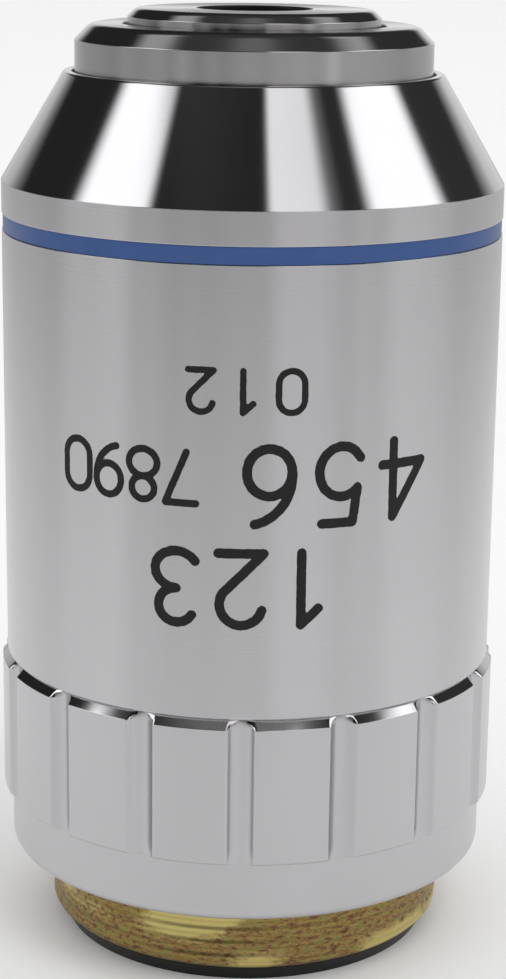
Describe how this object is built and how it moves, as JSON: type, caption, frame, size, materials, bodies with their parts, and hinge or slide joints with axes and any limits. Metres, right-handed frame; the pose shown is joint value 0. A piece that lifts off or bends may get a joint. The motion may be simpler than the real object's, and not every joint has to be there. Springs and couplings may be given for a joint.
{
  "type": "microscope objective",
  "caption": "Chromed microscope objective with a cone-shaped front, a colour-coded band, a fluted grip ring, a threaded brass foot and a spring-loaded nose.",
  "frame": {"origin": "on the optical axis, in the rear face that the objective stands on, 4.33 mm behind the shoulder", "axes": "+Z along the optical axis towards the specimen; one flute of the grip ring faces -Y"},
  "size_m": [0.0254, 0.0254, 0.047],
  "materials": {
    "satin_chrome": "satin turned chrome plate",
    "bare_brass": "bare turned brass, slightly tarnished",
    "black_metal": "black lacquer on brass, satin",
    "blue_enamel": "blue enamel, satin",
    "inner_brass": "turned brass",
    "spring_steel": "bright wire",
    "optical_glass": "polished, coated"
  },
  "bodies": {
    "barrel": {"main_barrel": "bare_brass", "grip_ring": "satin_chrome", "outer_sleeve": "satin_chrome", "colour_band": "blue_enamel", "rear_ring": "black_metal", "guide_screw": "spring_steel", "nose_spring": "spring_steel"},
    "nose": {"nose_collar": "satin_chrome", "front_cell": "satin_chrome", "lens_tube": "inner_brass", "aperture_stop": "black_metal", "spacer_tube": "inner_brass", "lock_ring": "inner_brass", "second_cell": "inner_brass", "third_cell": "inner_brass", "fourth_cell": "inner_brass", "rear_cell": "inner_brass", "front_lens": "optical_glass", "second_lens": "optical_glass", "third_crown": "optical_glass", "third_flint": "optical_glass", "fourth_flint": "optical_glass", "fourth_crown": "optical_glass", "rear_crown": "optical_glass", "rear_flint": "optical_glass"}
  },
  "joints": [
    {"name": "nose_slide", "type": "slide", "parent": "barrel", "child": "nose", "axis": [0, 0, 1], "range_m": [-0.002, 0], "stiffness_N_per_m": 510, "springref_m": 0.0035, "deforming": ["nose_spring"]}
  ]
}
